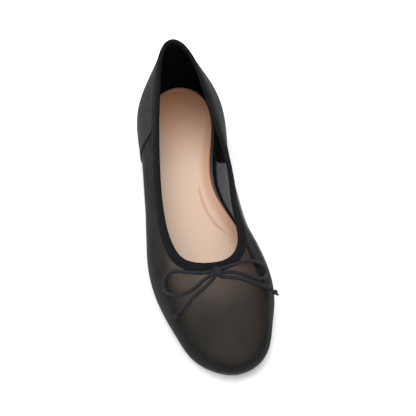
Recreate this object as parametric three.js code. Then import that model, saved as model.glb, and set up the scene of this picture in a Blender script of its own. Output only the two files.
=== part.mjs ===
// A woman's round-toed ballet flat for the right foot: a sheer mesh upper with a bound topline and a thin cord bow,
// a padded insole, a thin rubber sole and a low heel block. Millimetres, +Z up, toe towards -Y, big toe side at +X.
import * as THREE from "three";
import { mergeVertices } from "three/addons/utils/BufferGeometryUtils.js";

// Length and width of the feather line, where the upper meets the sole
const lastLength = 239;
const ballWidth = 74;
// The opening at its widest, and the topline's peak above the heel seat
const openingWidth = 53;
const backHeight = 55;
// How far the wall swells past the feather line, and the fullness of the vamp in front of the throat
const wallBulge = 8.8;
const vampReach = 25.4;
const vampFall = 18.6;
// Sole and heel
const soleThickness = 3.5;
const heelHeight = 9;
const heelLength = 60;
const heelInset = 1;
const heelTaper = 1.6;
const toeSpring = 6;
const soleInset = 0.7;
const soleChamfer = 0.9;
// Upper, binding and back panel
const wallThickness = 1.1;
const bindingWidth = 6.2;
const bindingLeg = 0.6;
const bindingCrown = 1.5;
const bindingShoulder = 0.35;
const panelThickness = 0.5;
const panelHem = 0.9;
// Insole
const baseThickness = 2.2;
const baseEdge = 0.5;
const baseShare = 0.1;
const sockThickness = 1.6;
const sockEdge = 0.7;
const sockRim = 0.6;
const archMargin = 6.5;
const archLift = 1.6;
const heelCup = 1;
// Bow
const cordDiameter = 2.4;
const knotSize = [5.8, 7.2, 4.4];
const endKnotDiameter = 3.8;
const stubShare = 0.8;
// Clearance between pieces that meet
const gap = 0.3;
// Middle of the finished shoe's outer box, which the origin is put under
const shoeMiddle = [-1.18, 2.72];

// Sections round the shoe from the heel's back, by the outer side, the toe tip and the inner side. turn is the place
// on the way round. along and out place the feather line, topAlong, topOut and topRise the topline. belly and crown
// swell the wall low and high. margin sets the sock in from the feather line. Lengths are shares of the sizes above.
const sectionColumns = [
  "turn", "along", "out", "topAlong", "topOut", "topRise", "belly", "bellyRise", "crown", "crownFall", "margin",
];
const sectionRows = [
  [0.000, 0.000, 0.000, 0.013, 0.000, 1.000, 0.80, 0.34, 0.22, 1.00, 0.37],
  [0.045, 0.031, -0.427, 0.048, -0.317, 0.969, 0.85, 0.32, 0.18, 0.94, 0.36],
  [0.095, 0.110, -0.746, 0.122, -0.491, 0.844, 0.78, 0.28, 0.25, 0.78, 0.36],
  [0.155, 0.240, -0.833, 0.241, -0.691, 0.702, 0.69, 0.25, 0.23, 0.56, 0.36],
  [0.220, 0.386, -0.850, 0.370, -0.843, 0.640, 0.92, 0.23, 0.27, 0.44, 0.36],
  [0.285, 0.533, -0.963, 0.482, -0.939, 0.655, 0.77, 0.23, 0.27, 0.39, 0.36],
  [0.345, 0.663, -1.041, 0.585, -0.945, 0.661, 0.68, 0.23, 0.30, 0.33, 0.36],
  [0.400, 0.774, -0.936, 0.656, -0.840, 0.643, 0.50, 0.23, 0.43, 0.33, 0.36],
  [0.448, 0.863, -0.755, 0.697, -0.640, 0.632, 0.50, 0.23, 0.60, 0.33, 0.36],
  [0.490, 0.944, -0.498, 0.715, -0.300, 0.623, 0.36, 0.23, 0.84, 0.33, 0.36],
  [0.530, 0.997, 0.095, 0.719, 0.100, 0.614, 0.39, 0.23, 1.02, 0.33, 0.36],
  [0.570, 0.956, 0.648, 0.708, 0.440, 0.603, 0.32, 0.23, 0.88, 0.33, 0.36],
  [0.612, 0.875, 0.845, 0.671, 0.695, 0.592, 0.56, 0.23, 0.69, 0.33, 0.36],
  [0.660, 0.776, 0.971, 0.607, 0.780, 0.587, 0.80, 0.23, 0.48, 0.33, 0.36],
  [0.710, 0.667, 0.872, 0.524, 0.811, 0.580, 0.50, 0.23, 0.21, 0.39, 0.36],
  [0.765, 0.536, 0.715, 0.439, 0.887, 0.572, 0.48, 0.23, 0.10, 0.44, 0.38],
  [0.825, 0.395, 0.450, 0.335, 0.816, 0.590, 1.13, 0.25, 0.255, 0.44, 0.62],
  [0.875, 0.256, 0.572, 0.232, 0.690, 0.664, 1.39, 0.26, 0.32, 0.56, 0.60],
  [0.920, 0.120, 0.678, 0.124, 0.572, 0.821, 0.99, 0.28, 0.26, 0.78, 0.53],
  [0.962, 0.027, 0.425, 0.039, 0.330, 0.957, 0.82, 0.32, 0.18, 0.94, 0.42],
];
const sections = sectionRows.map((row) =>
  Object.fromEntries(sectionColumns.map((name, i) => [name, row[i]])),
);

// The sole's stations along the last: front of the heel seat, the flat tread under the ball, and its front end
const seatEnd = 0.26;
const treadStart = 0.6;
const treadEnd = 0.76;
// Where the insole rises under the arch and is hollowed under the heel: middle and reach, as shares of the last
const archSpot = { middle: 0.42, reach: 0.12, across: 0.25 };
const cupSpot = { middle: 0.14, reach: 0.12 };

// Where the back panel's front seams cross the topline's binding and the sole
const panelSeams = {
  outer: { top: 0.168, bottom: 0.175 },
  inner: { top: 0.812, bottom: 0.859 },
};

// Cord routes of the bow from the knot outwards, as x, y and z where the cords lie on the vamp
const knotCentre = [1.8, -60.9, 39.1];
const cordRoutes = {
  bow_loop_outer: [
    [-2, -59.9, 38.6], [-7.4, -59.3, 37.5], [-15.4, -57.2, 37.2], [-21.9, -54.6, 36.2], [-26.2, -53, 34.3],
    [-29.3, -53.4, 31.9], [-31.5, -55.6, 28.9], [-32.1, -59.3, 27], [-31, -62.7, 26.8], [-27.5, -66.3, 28.6],
    [-22.6, -68.6, 30.9], [-17.4, -68.7, 32.8], [-12.4, -67, 34.7], [-8, -64.7, 36.3], [-3.4, -62.6, 37.7],
  ],
  bow_loop_inner: [
    [5.2, -59, 39.2], [9.4, -58, 38.3], [14.8, -56.2, 37.1], [20.2, -54.5, 35.9], [26.2, -53.6, 33.1],
    [30.1, -54.1, 30.5], [33.3, -55.7, 27.3], [33.8, -59.2, 26.2], [31.9, -63.3, 27.7], [28.2, -65.4, 29.9],
    [23.4, -64.6, 32.3], [18.6, -63, 34.2], [13.8, -61.8, 35.8], [9, -61.1, 37], [5.7, -61.4, 37.4],
  ],
  bow_tail_outer: [
    [-0.9, -64.4, 37.2], [-6.7, -68.1, 35.1], [-15.2, -72.7, 32.1], [-22.8, -76.9, 27.6], [-25.6, -78.6, 25.3],
  ],
  bow_tail_inner: [
    [4.6, -64.1, 36.9], [10.1, -64.8, 35.9], [14.9, -65.6, 34.7], [19.6, -66.9, 33.1], [24.4, -68.3, 31.1],
    [29.2, -69.4, 28.6], [33.3, -69.8, 25.4], [35.6, -70.4, 23.3],
  ],
};
const endKnots = {
  tail_knot_outer: { start: [-25.9, -78.9, 25.2], end: [-30.2, -81.2, 21.5] },
  tail_knot_inner: { start: [36.2, -70.8, 22.9], end: [39.1, -73.9, 20.2] },
};

// The bow's knot as two turns of cord: shares of its half height and of its width
const knotProfile = [
  [0, -0.5], [0.52, -0.47], [0.92, -0.36], [1, -0.22], [0.93, -0.08], [0.86, 0],
  [0.93, 0.08], [1, 0.22], [0.92, 0.36], [0.52, 0.47], [0, 0.5],
];

// How finely the curved surfaces are cut into faces
const facesRound = 72;
const heelPoints = 32;
const knotSides = 10;
const wallRings = 11;
const profileSteps = 48;
const cordSides = 8;
const loopSteps = 26;
const tailSteps = 9;

const clamp01 = (x) => Math.min(1, Math.max(0, x));
const smootherStep = (t) => t * t * t * (t * (6 * t - 15) + 10);

// Gaussian elimination with pivots, for the splines' few unknowns
function solveLinear(matrix, right) {
  const size = right.length;
  const rows = matrix.map((row, i) => [...row, right[i]]);
  for (let c = 0; c < size; c++) {
    let best = c;
    for (let r = c + 1; r < size; r++) {
      if (Math.abs(rows[r][c]) > Math.abs(rows[best][c])) best = r;
    }
    [rows[c], rows[best]] = [rows[best], rows[c]];
    for (let r = 0; r < size; r++) {
      if (r === c) continue;
      const factor = rows[r][c] / rows[c][c];
      for (let k = c; k <= size; k++) rows[r][k] -= factor * rows[c][k];
    }
  }
  return rows.map((row, i) => row[size] / row[i]);
}

// A smooth closed curve through one column of the sections: a periodic cubic spline over the turns
function closedSpline(column) {
  const turns = sections.map((s) => s.turn);
  const values = sections.map((s) => s[column]);
  const size = turns.length;
  const spans = turns.map((t, i) => (i + 1 < size ? turns[i + 1] : turns[0] + 1) - t);
  const matrix = turns.map(() => new Array(size).fill(0));
  const right = turns.map((_, i) => {
    const before = (i + size - 1) % size;
    const after = (i + 1) % size;
    matrix[i][before] += spans[before];
    matrix[i][i] += 2 * (spans[before] + spans[i]);
    matrix[i][after] += spans[i];
    const rising = (values[after] - values[i]) / spans[i];
    const coming = (values[i] - values[before]) / spans[before];
    return 6 * (rising - coming);
  });
  const bends = solveLinear(matrix, right);
  return (turn) => {
    const place = turn - Math.floor(turn);
    let i = size - 1;
    while (i > 0 && turns[i] > place) i--;
    const j = (i + 1) % size;
    const t = (place - turns[i]) / spans[i];
    const a = 1 - t;
    const bend = (a ** 3 - a) * bends[i] + (t ** 3 - t) * bends[j];
    return a * values[i] + t * values[j] + (bend * spans[i] ** 2) / 6;
  };
}
const column = Object.fromEntries(sectionColumns.slice(1).map((name) => [name, closedSpline(name)]));

// Height of the sole's underside at a share of the last's length from the heel: seat, arch, flat tread, toe spring
function undersideAt(share) {
  const arch = smootherStep(clamp01((share - seatEnd) / (treadStart - seatEnd)));
  const spring = Math.max(0, (share - treadEnd) / (1 - treadEnd)) ** 2;
  return heelHeight * (1 - arch) + toeSpring * spring;
}
const soleTopAt = (share) => undersideAt(share) + soleThickness;

// The feather line and the topline as points, with y counted from the middle of the last
const yAt = (share) => lastLength * (0.5 - share);
function featherAt(turn) {
  const share = column.along(turn);
  return new THREE.Vector3((column.out(turn) * ballWidth) / 2, yAt(share), soleTopAt(share) + gap);
}
function toplineAt(turn) {
  const share = column.topAlong(turn);
  const rise = column.topRise(turn) * backHeight;
  return new THREE.Vector3((column.topOut(turn) * openingWidth) / 2, yAt(share), soleTopAt(share) + rise);
}

// The level direction that points out of a closed curve
const turnStep = 1e-3;
function outwardOf(curve, turn) {
  const way = curve(turn + turnStep).sub(curve(turn - turnStep));
  return new THREE.Vector3(way.y, -way.x, 0).normalize();
}

// The wall's profile at a turn, a Bezier curve from the feather line up to the topline
function profileAt(turn) {
  const foot = featherAt(turn);
  const top = toplineAt(turn);
  const belly = outwardOf(featherAt, turn).multiplyScalar(column.belly(turn) * wallBulge);
  belly.z = column.bellyRise(turn) * backHeight;
  const crown = outwardOf(toplineAt, turn).multiplyScalar(column.crown(turn) * vampReach);
  crown.z = -column.crownFall(turn) * vampFall;
  return new THREE.CubicBezierCurve3(foot, belly.add(foot), crown.add(top), top);
}

// A place on the wall's outer surface by turn and by depth below the topline, measured along the wall
const profileCache = new Map();
function measuredProfile(turn) {
  if (!profileCache.has(turn)) {
    const curve = profileAt(turn);
    const points = curve.getPoints(profileSteps);
    const depths = [0];
    for (let i = profileSteps; i > 0; i--) depths.push(depths.at(-1) + points[i].distanceTo(points[i - 1]));
    profileCache.set(turn, { curve, depths });
  }
  return profileCache.get(turn);
}
const wallDepth = (turn) => measuredProfile(turn).depths.at(-1);
function wallAt(turn, depth) {
  const { curve, depths } = measuredProfile(turn);
  let i = 1;
  while (i < profileSteps && depths[i] < depth) i++;
  const part = (depth - depths[i - 1]) / (depths[i] - depths[i - 1]);
  const v = 1 - (i - 1 + part) / profileSteps;
  const point = curve.getPoint(v);
  const up = curve.getTangent(v);
  const round = profileAt(turn + turnStep).getPoint(v).sub(profileAt(turn - turnStep).getPoint(v));
  return { point, up, normal: round.cross(up).normalize() };
}
function offWall(turn, depth, offset) {
  const { point, normal } = wallAt(turn, depth);
  return point.addScaledVector(normal, offset);
}

// A closed mesh from points and triangles, with its faces turned outward
function meshOf(name, points, triangles, material) {
  const volume = triangles.reduce((sum, [a, b, c]) => sum + points[a].dot(points[b].clone().cross(points[c])), 0);
  const positions = [];
  for (const [a, b, c] of triangles) {
    for (const corner of volume > 0 ? [a, b, c] : [a, c, b]) positions.push(...points[corner].toArray());
  }
  const geometry = new THREE.BufferGeometry();
  geometry.setAttribute("position", new THREE.Float32BufferAttribute(positions, 3));
  const merged = mergeVertices(geometry, 1e-4);
  merged.computeVertexNormals();
  const mesh = new THREE.Mesh(merged, material);
  mesh.name = name;
  return mesh;
}

// A solid from closed loops of points that follow each other, either closed on itself or ended by two caps. A cap
// pairs the points of a loop's first half with those of its second half.
function loopSolid(name, loops, material, isRing) {
  const count = loops[0].length;
  const triangles = [];
  const steps = isRing ? loops.length : loops.length - 1;
  for (let i = 0; i < steps; i++) {
    const here = i * count;
    const next = ((i + 1) % loops.length) * count;
    for (let j = 0; j < count; j++) {
      const k = (j + 1) % count;
      triangles.push([here + j, next + j, next + k], [here + j, next + k, here + k]);
    }
  }
  const last = (loops.length - 1) * count;
  for (let j = 0; !isRing && j < count / 2 - 1; j++) {
    const pair = count - 1 - j;
    triangles.push([j, j + 1, pair - 1], [j, pair - 1, pair]);
    triangles.push([last + j, last + pair - 1, last + j + 1], [last + j, last + pair, last + pair - 1]);
  }
  return meshOf(name, loops.flat(), triangles, material);
}

const finish = {
  mesh: new THREE.MeshStandardMaterial({ color: 0x2c2b2b, roughness: 0.6, metalness: 0 }),
  binding: new THREE.MeshStandardMaterial({ color: 0x16181c, roughness: 0.75, metalness: 0 }),
  panel: new THREE.MeshStandardMaterial({ color: 0x25272a, roughness: 0.55, metalness: 0 }),
  cord: new THREE.MeshStandardMaterial({ color: 0x1c1f24, roughness: 0.65, metalness: 0 }),
  sock: new THREE.MeshStandardMaterial({ color: 0xd9b598, roughness: 0.55, metalness: 0 }),
  base: new THREE.MeshStandardMaterial({ color: 0x1d2025, roughness: 0.4, metalness: 0 }),
  rubber: new THREE.MeshStandardMaterial({ color: 0x1a1a1a, roughness: 0.7, metalness: 0 }),
};

const turnsRound = Array.from({ length: facesRound }, (_, i) => i / facesRound);

// Depths of the wall's rows at a turn, from the sole up to the binding's lower edge
const wallRows = (turn) =>
  Array.from({ length: wallRings }, (_, i) =>
    THREE.MathUtils.lerp(wallDepth(turn), bindingWidth + gap, i / (wallRings - 1)),
  );

// The upper: one hollow wall from the sole's edge up into the binding, the vamp included
const bindingTuck = bindingCrown + gap;
function upper() {
  const loops = turnsRound.map((turn) => {
    const depths = [...wallRows(turn), bindingTuck];
    const outside = depths.map((depth) => offWall(turn, depth, 0));
    const inside = depths.map((depth) => offWall(turn, depth, -wallThickness));
    return [...outside, ...inside.reverse()];
  });
  return loopSolid("upper", loops, finish.mesh, true);
}

// The binding: a tape folded over the topline, with a slot that takes the wall's raw edge
function binding() {
  const outer = gap + bindingLeg;
  const inner = -wallThickness - gap - bindingLeg;
  const middle = -wallThickness / 2;
  const section = [
    [outer, bindingWidth],
    [outer, bindingCrown],
    [outer - bindingLeg, bindingShoulder * bindingCrown],
    [middle, 0],
    [inner + bindingLeg, bindingShoulder * bindingCrown],
    [inner, bindingCrown],
    [inner, bindingWidth],
    [inner + bindingLeg, bindingWidth],
    [inner + bindingLeg, bindingCrown],
    [gap, bindingCrown],
    [gap, bindingWidth],
  ];
  const loops = turnsRound.map((turn) => section.map(([offset, depth]) => offWall(turn, depth, offset)));
  return loopSolid("binding", loops, finish.binding, true);
}

// The back panel: an overlay round the heel between the binding and the sole, with slanted front edges
function backPanel() {
  const { inner, outer } = panelSeams;
  const first = Math.ceil((inner.top - 1) * facesRound);
  const last = Math.floor(outer.top * facesRound);
  const level = (place) => () => place / facesRound;
  const slanted = (seam, turns) => (down) => THREE.MathUtils.lerp(seam.top, seam.bottom, down) - turns;
  const between = Array.from({ length: last - first + 1 }, (_, i) => level(first + i));
  const loops = [slanted(inner, 1), ...between, slanted(outer, 0)].map((turnAt) => {
    const edges = wallRows(0).map((_, i) => {
      const turn = turnAt(1 - i / (wallRings - 1));
      const depth = Math.min(wallRows(turn)[i], wallDepth(turn) - panelHem);
      return { out: offWall(turn, depth, gap + panelThickness), in: offWall(turn, depth, gap) };
    });
    return [...edges.map((edge) => edge.out), ...edges.map((edge) => edge.in).reverse()];
  });
  return loopSolid("back_panel", loops, finish.panel, false);
}

// The feather line drawn in by a length, and by rings that close in on the middle of the foot
const spineFrom = 0.12;
const spineTo = 0.86;
const spineOut = -2;
const spineRing = 0.1;
function outlineAt(turn, inset, ring) {
  const share = column.along(turn);
  const edge = featherAt(turn).addScaledVector(outwardOf(featherAt, turn), -inset);
  const middle = new THREE.Vector3(spineOut, yAt(Math.min(spineTo, Math.max(spineFrom, share))), 0);
  edge.lerp(middle, 1 - ring);
  return edge;
}
const shareAt = (point) => 0.5 - point.y / lastLength;

// The turn between two others where a measure of the way round changes sign
function turnWhere(measure, from, to) {
  let low = from;
  let high = to;
  for (let i = 0; i < 40; i++) {
    const middle = (low + high) / 2;
    if (measure(middle) > 0 === measure(from) > 0) low = middle;
    else high = middle;
  }
  return (low + high) / 2;
}

// Corners of the flat pieces: pairs across the foot, closer together at the heel and the toe
const platePairs = facesRound / 2;
const tipTurn = turnWhere((turn) => column.along(turn + turnStep) - column.along(turn), 0.45, 0.6);
const pairShares = Array.from({ length: platePairs }, (_, i) => (1 - Math.cos((Math.PI * (i + 0.5)) / platePairs)) / 2);
const turnsBetween = (from, to) => pairShares.map((share) => turnWhere((turn) => column.along(turn) - share, from, to));
const plateTurns = [...turnsBetween(0, tipTurn), ...turnsBetween(1, tipTurn).reverse()];
function plateRing(insetAt, ring, heightAt) {
  return plateTurns.map((turn) => {
    const point = outlineAt(turn, insetAt(turn), ring);
    point.z = heightAt(point, ring);
    return point;
  });
}

// Outsole, closed in on its underside and on its top
function outsole() {
  const edge = () => soleInset;
  const drawnIn = () => soleInset + soleChamfer;
  const under = (point) => undersideAt(clamp01(shareAt(point)));
  const top = (point) => soleTopAt(clamp01(shareAt(point)));
  const rings = [
    plateRing(drawnIn, spineRing, under),
    plateRing(drawnIn, 0.55, under),
    plateRing(drawnIn, 1, under),
    plateRing(edge, 1, (point) => under(point) + soleChamfer),
    plateRing(edge, 1, top),
    plateRing(edge, 0.55, top),
    plateRing(edge, spineRing, top),
  ];
  return loopSolid("outsole", rings, finish.rubber, false);
}

// Heel block under the seat: the sole's outline as far as the breast
function heel() {
  const ring = (inset, height) => {
    const breast = yAt(heelLength / lastLength) + inset;
    const pastBreast = (turn) => outlineAt(turn, inset, 1).y - breast;
    const start = turnWhere(pastBreast, -0.02, -0.22);
    const end = turnWhere(pastBreast, 0.02, 0.22);
    return Array.from({ length: heelPoints }, (_, i) => {
      const point = outlineAt(THREE.MathUtils.lerp(start, end, i / (heelPoints - 1)), inset, 1);
      point.z = height;
      return point;
    });
  };
  const rings = [
    ring(heelInset + heelTaper + soleChamfer, 0),
    ring(heelInset + heelTaper, soleChamfer),
    ring(heelInset, heelHeight - gap),
  ];
  return loopSolid("heel", rings, finish.rubber, false);
}

// The insole's lift under the arch, on the inner side
function archAt(point) {
  const alongArch = Math.exp(-(((shareAt(point) - archSpot.middle) / archSpot.reach) ** 2));
  return archLift * alongArch * clamp01(point.x / (archSpot.across * ballWidth)) ** 2;
}
const leastInset = wallThickness + 2.5 * gap;
const sockInset = (turn) => Math.max(leastInset + sockRim, column.margin(turn) * archMargin);
const baseInset = (turn) => leastInset + (sockInset(turn) - leastInset - sockRim) * baseShare;
const baseBottom = (point) => soleTopAt(clamp01(shareAt(point))) + gap;
const baseTop = (point) => baseBottom(point) + baseThickness + archAt(point);

// Insole base: the bound board that the sock lies on
function insoleBase() {
  const topInset = (turn) => baseInset(turn) + baseEdge;
  const rings = [
    plateRing(baseInset, spineRing, baseBottom),
    plateRing(baseInset, 0.55, baseBottom),
    plateRing(baseInset, 1, baseBottom),
    plateRing(baseInset, 1, (point) => baseTop(point) - baseEdge),
    plateRing(topInset, 1, baseTop),
    plateRing(topInset, 0.7, baseTop),
    plateRing(topInset, 0.4, baseTop),
    plateRing(topInset, spineRing, baseTop),
  ];
  return loopSolid("insole_base", rings, finish.base, false);
}

// Insole sock: padded, hollowed a little under the heel
function insoleSock() {
  const bottom = (point) => baseTop(point) + gap;
  const seat = (point) => Math.exp(-(((shareAt(point) - cupSpot.middle) / cupSpot.reach) ** 2));
  const top = (point, ring) => bottom(point) + sockThickness - heelCup * seat(point) * (1 - ring ** 2);
  const rings = [
    plateRing(sockInset, spineRing, bottom),
    plateRing(sockInset, 0.4, bottom),
    plateRing(sockInset, 0.7, bottom),
    plateRing(sockInset, 1, bottom),
    plateRing(sockInset, 1, (point) => bottom(point) + sockThickness - sockEdge),
    plateRing((turn) => sockInset(turn) + sockEdge, 1, (point) => top(point, 1)),
    plateRing(sockInset, 0.8, top),
    plateRing(sockInset, 0.5, top),
    plateRing(sockInset, spineRing, top),
  ];
  return loopSolid("insole_sock", rings, finish.sock, false);
}

// A geometry as one closed surface, with nothing but places at its corners
function closed(geometry) {
  geometry.deleteAttribute("normal");
  geometry.deleteAttribute("uv");
  const merged = mergeVertices(geometry, 1e-4);
  merged.computeVertexNormals();
  return merged;
}

// A round cord along a route, cut square at both ends
function cord(name, route, steps) {
  const corners = Array.from({ length: cordSides }, (_, i) => {
    const angle = (2 * Math.PI * i) / cordSides;
    return new THREE.Vector2(Math.cos(angle), Math.sin(angle)).multiplyScalar(cordDiameter / 2);
  });
  const path = new THREE.CatmullRomCurve3(route.map((point) => new THREE.Vector3(...point)));
  const options = { extrudePath: path, steps, bevelEnabled: false };
  const mesh = new THREE.Mesh(closed(new THREE.ExtrudeGeometry(new THREE.Shape(corners), options)), finish.cord);
  mesh.name = name;
  return mesh;
}

// The knot in the middle of the bow, and a small one with a short cut end on each tail
function knot() {
  const profile = knotProfile.map(([high, across]) => new THREE.Vector2(high / 2, across));
  const mesh = new THREE.Mesh(closed(new THREE.LatheGeometry(profile, knotSides)), finish.cord);
  mesh.name = "bow_knot";
  mesh.geometry.rotateZ(-Math.PI / 2).scale(...knotSize).translate(...knotCentre);
  return mesh;
}
function endKnot(name, { start, end }) {
  const radius = endKnotDiameter / 2;
  const stub = (cordDiameter / 2) * stubShare;
  const along = new THREE.Vector3(...end).sub(new THREE.Vector3(...start));
  const profile = new THREE.Path().moveTo(0, 0).lineTo(stub, 0);
  profile.quadraticCurveTo(radius * 1.15, radius * 0.3, radius, radius);
  profile.quadraticCurveTo(radius * 0.8, radius * 1.9, stub, endKnotDiameter);
  profile.lineTo(stub, along.length()).lineTo(0, along.length());
  const mesh = new THREE.Mesh(closed(new THREE.LatheGeometry(profile.getPoints(4), cordSides)), finish.cord);
  const turn = new THREE.Quaternion().setFromUnitVectors(new THREE.Vector3(0, 1, 0), along.normalize());
  mesh.name = name;
  mesh.geometry.applyQuaternion(turn).translate(...start);
  return mesh;
}

// The bow: two loops and two tails of cord, with their knots
function bow() {
  const cords = Object.entries(cordRoutes).map(([name, route]) =>
    cord(name, route, name.includes("loop") ? loopSteps : tailSteps),
  );
  const tied = Object.entries(endKnots).map(([name, places]) => endKnot(name, places));
  return [knot(), ...cords, ...tied];
}

const shoe = new THREE.Group();
shoe.add(upper(), binding(), backPanel(), outsole(), heel(), insoleBase(), insoleSock(), ...bow());
for (const piece of shoe.children) piece.geometry.translate(-shoeMiddle[0], -shoeMiddle[1], 0);
export default shoe;
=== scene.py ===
import math
import random

import bpy
import numpy as np
from mathutils import Matrix, Vector


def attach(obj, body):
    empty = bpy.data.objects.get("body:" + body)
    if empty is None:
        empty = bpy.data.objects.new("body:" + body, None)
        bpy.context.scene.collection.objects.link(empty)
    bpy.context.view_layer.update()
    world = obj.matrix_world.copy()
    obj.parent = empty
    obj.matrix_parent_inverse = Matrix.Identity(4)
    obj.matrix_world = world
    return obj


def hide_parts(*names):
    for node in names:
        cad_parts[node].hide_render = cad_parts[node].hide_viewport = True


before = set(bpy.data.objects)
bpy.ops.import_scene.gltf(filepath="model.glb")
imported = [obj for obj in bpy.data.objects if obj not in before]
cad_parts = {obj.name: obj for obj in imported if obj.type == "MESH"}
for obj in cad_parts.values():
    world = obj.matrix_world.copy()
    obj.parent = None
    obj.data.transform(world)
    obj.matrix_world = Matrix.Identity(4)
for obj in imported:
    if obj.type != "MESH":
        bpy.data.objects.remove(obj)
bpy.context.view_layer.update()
print("frame loaded")

# Lengths in millimetres, as the part's source has them
mm = 0.001
shoeMiddle = np.array([-1.18, 2.72, 0])
gap = 0.3
last = {"length": 239, "ballWidth": 74, "openingWidth": 53, "backHeight": 55}
wall = {"thickness": 1.1, "bulge": 8.8, "vampReach": 25.4, "vampFall": 18.6}
sole = {
    "thickness": 3.5,
    "toeSpring": 6,
    "inset": 0.7,
    "chamfer": 0.9,
    "seatEnd": 0.26,
    "treadStart": 0.6,
    "treadEnd": 0.76,
}
heelBlock = {"height": 9, "length": 60, "inset": 1, "taper": 1.6}
insole = {
    "base": 2.2,
    "sock": 1.6,
    "rim": 0.6,
    "baseShare": 0.1,
    "margin": 6.5,
    "archLift": 1.6,
    "archMiddle": 0.42,
    "cup": 1,
    "cupMiddle": 0.14,
    "reach": 0.12,
}
cordDiameter = 2.4

# The sections round the shoe: one row for each turn, from the heel over the outer side to the toe and back
sectionColumns = (
    "turn", "along", "out", "topAlong", "topOut", "topRise",
    "belly", "bellyRise", "crown", "crownFall", "margin",
)
sectionRows = np.array([
    [0.000, 0.000, 0.000, 0.013, 0.000, 1.000, 0.80, 0.34, 0.22, 1.00, 0.37],
    [0.045, 0.031, -0.427, 0.048, -0.317, 0.969, 0.85, 0.32, 0.18, 0.94, 0.36],
    [0.095, 0.110, -0.746, 0.122, -0.491, 0.844, 0.78, 0.28, 0.25, 0.78, 0.36],
    [0.155, 0.240, -0.833, 0.241, -0.691, 0.702, 0.69, 0.25, 0.23, 0.56, 0.36],
    [0.220, 0.386, -0.850, 0.370, -0.843, 0.640, 0.92, 0.23, 0.27, 0.44, 0.36],
    [0.285, 0.533, -0.963, 0.482, -0.939, 0.655, 0.77, 0.23, 0.27, 0.39, 0.36],
    [0.345, 0.663, -1.041, 0.585, -0.945, 0.661, 0.68, 0.23, 0.30, 0.33, 0.36],
    [0.400, 0.774, -0.936, 0.656, -0.840, 0.643, 0.50, 0.23, 0.43, 0.33, 0.36],
    [0.448, 0.863, -0.755, 0.697, -0.640, 0.632, 0.50, 0.23, 0.60, 0.33, 0.36],
    [0.490, 0.944, -0.498, 0.715, -0.300, 0.623, 0.36, 0.23, 0.84, 0.33, 0.36],
    [0.530, 0.997, 0.095, 0.719, 0.100, 0.614, 0.39, 0.23, 1.02, 0.33, 0.36],
    [0.570, 0.956, 0.648, 0.708, 0.440, 0.603, 0.32, 0.23, 0.88, 0.33, 0.36],
    [0.612, 0.875, 0.845, 0.671, 0.695, 0.592, 0.56, 0.23, 0.69, 0.33, 0.36],
    [0.660, 0.776, 0.971, 0.607, 0.780, 0.587, 0.80, 0.23, 0.48, 0.33, 0.36],
    [0.710, 0.667, 0.872, 0.524, 0.811, 0.580, 0.50, 0.23, 0.21, 0.39, 0.36],
    [0.765, 0.536, 0.715, 0.439, 0.887, 0.572, 0.48, 0.23, 0.10, 0.44, 0.38],
    [0.825, 0.395, 0.450, 0.335, 0.816, 0.590, 1.13, 0.25, 0.255, 0.44, 0.62],
    [0.875, 0.256, 0.572, 0.232, 0.690, 0.664, 1.39, 0.26, 0.32, 0.56, 0.60],
    [0.920, 0.120, 0.678, 0.124, 0.572, 0.821, 0.99, 0.28, 0.26, 0.78, 0.53],
    [0.962, 0.027, 0.425, 0.039, 0.330, 0.957, 0.82, 0.32, 0.18, 0.94, 0.42],
])
sectionTurns = sectionRows[:, 0]


# A smooth closed curve through one column of the sections, as a periodic cubic spline over the turns
def closedSpline(values):
    size = len(sectionTurns)
    spans = np.diff(np.append(sectionTurns, sectionTurns[0] + 1))
    before = np.roll(spans, 1)
    slopes = (np.roll(values, -1) - values) / spans
    matrix = np.diag(2 * (before + spans))
    for i in range(size):
        matrix[i, i - 1] += before[i]
        matrix[i, (i + 1) % size] += spans[i]
    bends = np.linalg.solve(matrix, 6 * (slopes - np.roll(slopes, 1)))

    def at(turn):
        place = np.mod(turn, 1)
        i = np.clip(np.searchsorted(sectionTurns, place, side="right") - 1, 0, size - 1)
        j = (i + 1) % size
        t = (place - sectionTurns[i]) / spans[i]
        a = 1 - t
        bend = (a**3 - a) * bends[i] + (t**3 - t) * bends[j]
        return a * values[i] + t * values[j] + bend * spans[i] ** 2 / 6

    return at


column = {name: closedSpline(sectionRows[:, i]) for i, name in enumerate(sectionColumns) if i}


def smootherStep(t):
    t = np.clip(t, 0, 1)
    return t * t * t * (t * (6 * t - 15) + 10)


def smoothBetween(value, low, high):
    return smootherStep((value - low) / (high - low))


def undersideAt(share):
    share = np.clip(share, 0, 1)
    arch = smootherStep((share - sole["seatEnd"]) / (sole["treadStart"] - sole["seatEnd"]))
    spring = np.maximum(0, (share - sole["treadEnd"]) / (1 - sole["treadEnd"])) ** 2
    return heelBlock["height"] * (1 - arch) + sole["toeSpring"] * spring


def soleTopAt(share):
    return undersideAt(share) + sole["thickness"]


def yAt(share):
    return last["length"] * (0.5 - share)


def shareAt(points):
    return 0.5 - points[..., 1] / last["length"]


def featherAt(turn):
    share = column["along"](turn)
    out = column["out"](turn) * last["ballWidth"] / 2
    return np.stack([out, yAt(share), soleTopAt(share) + gap], -1)


def toplineAt(turn):
    share = column["topAlong"](turn)
    out = column["topOut"](turn) * last["openingWidth"] / 2
    height = soleTopAt(share) + column["topRise"](turn) * last["backHeight"]
    return np.stack([out, yAt(share), height], -1)


turnStep = 1e-3
profileSamples = 97


def outwardOf(curve, turn):
    way = curve(turn + turnStep) - curve(turn - turnStep)
    out = np.stack([way[..., 1], -way[..., 0], 0 * way[..., 0]], -1)
    return out / np.linalg.norm(out, axis=-1, keepdims=True)


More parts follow.
